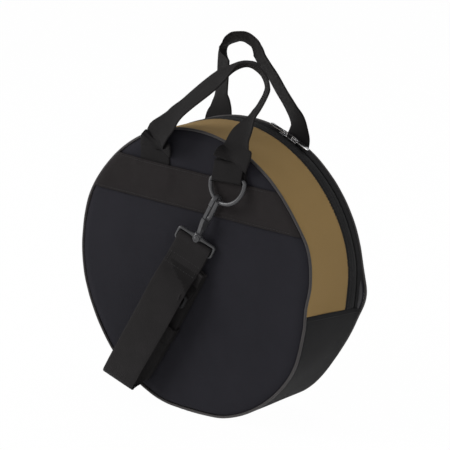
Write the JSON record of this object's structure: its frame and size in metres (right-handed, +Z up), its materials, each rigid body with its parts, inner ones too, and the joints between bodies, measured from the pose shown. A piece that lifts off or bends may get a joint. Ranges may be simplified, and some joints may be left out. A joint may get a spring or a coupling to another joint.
{
  "type": "tambourine case",
  "caption": "Round padded soft case on its edge, with a zipped rear lid, webbing handles, D-rings and a folded shoulder strap on snap hooks.",
  "frame": {"origin": "on the ground, under the middle of the case's flat foot", "axes": "+Z up, -Y out of the front panel, +X to the right as seen from the front"},
  "size_m": [0.3024, 0.1431, 0.3853],
  "materials": {
    "navy_cloth": "matt woven nylon",
    "black_cloth": "matt woven nylon",
    "black_webbing": "ribbed woven webbing",
    "khaki_cloth": "matt woven nylon",
    "grey_piping": "smooth covered cord",
    "lining_cloth": "thin smooth lining",
    "foam": "closed cell foam, hidden",
    "zipper": "woven tape and nylon coil",
    "bright_metal": "polished",
    "dark_hardware": "moulded, half gloss"
  },
  "bodies": {
    "case": {"front_panel_skin": "navy_cloth", "front_panel_foam": "foam", "front_panel_lining": "lining_cloth", "front_piping": "grey_piping", "khaki_gusset": "khaki_cloth", "lower_gusset": "black_cloth", "gusset_foam_upper": "foam", "gusset_foam_lower": "foam", "gusset_lining_upper": "lining_cloth", "gusset_lining_lower": "lining_cloth", "front_seam_binding": "black_cloth", "rear_seam_binding": "black_cloth", "zip_strip_front": "black_cloth", "zip_tape_front": "zipper", "zip_coil_front": "zipper", "rear_panel_lower_skin": "navy_cloth", "rear_panel_lower_foam": "foam", "rear_panel_lower_lining": "lining_cloth", "rear_piping_lower": "grey_piping", "front_band": "black_webbing", "front_handle_end_left": "black_webbing", "front_handle_end_right": "black_webbing", "front_handle_bend_left": "black_webbing", "front_handle_bend_right": "black_webbing", "front_d_ring_tab": "black_webbing"},
    "lid": {"rear_panel_upper_skin": "navy_cloth", "rear_panel_upper_foam": "foam", "rear_panel_upper_lining": "lining_cloth", "rear_piping_upper": "grey_piping", "zip_tape_rear": "black_cloth", "zip_coil_rear": "zipper", "rear_band": "black_webbing", "rear_handle_end_left": "black_webbing", "rear_handle_end_right": "black_webbing", "rear_handle_bend_left": "black_webbing", "rear_handle_bend_right": "black_webbing", "rear_d_ring_tab": "black_webbing"},
    "front_handle": {"front_handle_loop": "black_webbing"},
    "rear_handle": {"rear_handle_loop": "black_webbing"},
    "front_ring": {"front_d_ring": "dark_hardware"},
    "rear_ring": {"rear_d_ring": "dark_hardware"},
    "front_hook": {"front_hook_body": "dark_hardware"},
    "front_gate": {"front_hook_gate": "dark_hardware"},
    "front_yoke": {"front_hook_yoke": "dark_hardware"},
    "strap": {"shoulder_strap": "black_webbing", "strap_keeper": "black_webbing"},
    "spare_yoke": {"spare_hook_yoke": "dark_hardware"},
    "spare_hook": {"spare_hook_body": "dark_hardware"},
    "spare_gate": {"spare_hook_gate": "dark_hardware"},
    "slider_right": {"zip_slider_right": "bright_metal"},
    "slider_left": {"zip_slider_left": "bright_metal"},
    "pull_right": {"zip_pull_right": "bright_metal"},
    "pull_left": {"zip_pull_left": "bright_metal"}
  },
  "joints": [
    {"name": "lid_hinge", "type": "hinge", "parent": "case", "child": "lid", "pos_m": [0, 0.0463, 0.12735], "axis": [-1, 0, 0], "range_deg": [0, 100]},
    {"name": "front_handle_fold", "type": "hinge", "parent": "case", "child": "front_handle", "pos_m": [0, -0.05127, 0.31365], "axis": [1, 0, 0], "range_deg": [-12, 60], "stiffness_Nm_per_rad": 0.05, "deforming": ["front_handle_bend_left", "front_handle_bend_right"]},
    {"name": "rear_handle_fold", "type": "hinge", "parent": "lid", "child": "rear_handle", "pos_m": [0, 0.05523, 0.31483], "axis": [-1, 0, 0], "range_deg": [-12, 60], "stiffness_Nm_per_rad": 0.05, "deforming": ["rear_handle_bend_left", "rear_handle_bend_right"]},
    {"name": "front_ring_swing", "type": "hinge", "parent": "case", "child": "front_ring", "pos_m": [0.0535, -0.0507, 0.25603], "axis": [-1, 0, 0], "range_deg": [0, 80]},
    {"name": "rear_ring_swing", "type": "hinge", "parent": "lid", "child": "rear_ring", "pos_m": [-0.04, 0.0507, 0.25603], "axis": [1, 0, 0], "range_deg": [0, 90]},
    {"name": "front_hook_swing", "type": "hinge", "parent": "front_ring", "child": "front_hook", "pos_m": [0.043, -0.05576, 0.23494], "axis": [-0.866, 0, 0.5], "range_deg": [0, 20]},
    {"name": "front_gate_open", "type": "hinge", "parent": "front_hook", "child": "front_gate", "pos_m": [0.03232, -0.06091, 0.21645], "axis": [-0.866, 0, 0.5], "range_deg": [0, 22], "stiffness_Nm_per_rad": 0.004},
    {"name": "front_hook_swivel", "type": "hinge", "parent": "front_hook", "child": "front_yoke", "pos_m": [0.043, -0.05576, 0.23494], "axis": [0.5, 0, 0.866], "range_deg": [-3, 3]},
    {"name": "strap_swing", "type": "hinge", "parent": "front_yoke", "child": "strap", "pos_m": [0.0127, -0.05576, 0.18246], "axis": [-0.866, 0, 0.5], "range_deg": [0, 25]},
    {"name": "spare_yoke_swing", "type": "hinge", "parent": "strap", "child": "spare_yoke", "pos_m": [-0.01105, -0.06216, 0.14132], "axis": [0.866, 0, -0.5], "range_deg": [-2, 1]},
    {"name": "spare_hook_swivel", "type": "hinge", "parent": "spare_yoke", "child": "spare_hook", "pos_m": [-0.04135, -0.06216, 0.08884], "axis": [-0.5, 0, -0.866], "range_deg": [-8, 8]},
    {"name": "spare_gate_open", "type": "hinge", "parent": "spare_hook", "child": "spare_gate", "pos_m": [-0.03514, -0.06216, 0.10991], "axis": [0, -1, 0], "range_deg": [0, 22], "stiffness_Nm_per_rad": 0.004},
    {"name": "zip_slide_right", "type": "hinge", "parent": "case", "child": "slider_right", "pos_m": [0, 0.0341, 0.14823], "axis": [0, 1, 0], "range_deg": [0, 67]},
    {"name": "zip_slide_left", "type": "hinge", "parent": "case", "child": "slider_left", "pos_m": [0, 0.0341, 0.14823], "axis": [0, -1, 0], "range_deg": [0, 117]},
    {"name": "zip_pull_right", "type": "hinge", "parent": "slider_right", "child": "pull_right", "pos_m": [0.06995, 0.0341, 0.28469], "axis": [0, -1, 0], "range_deg": [0, 150]},
    {"name": "zip_pull_left", "type": "hinge", "parent": "slider_left", "child": "pull_left", "pos_m": [0.05958, 0.0341, 0.28953], "axis": [0, 1, 0], "range_deg": [0, 150]}
  ]
}
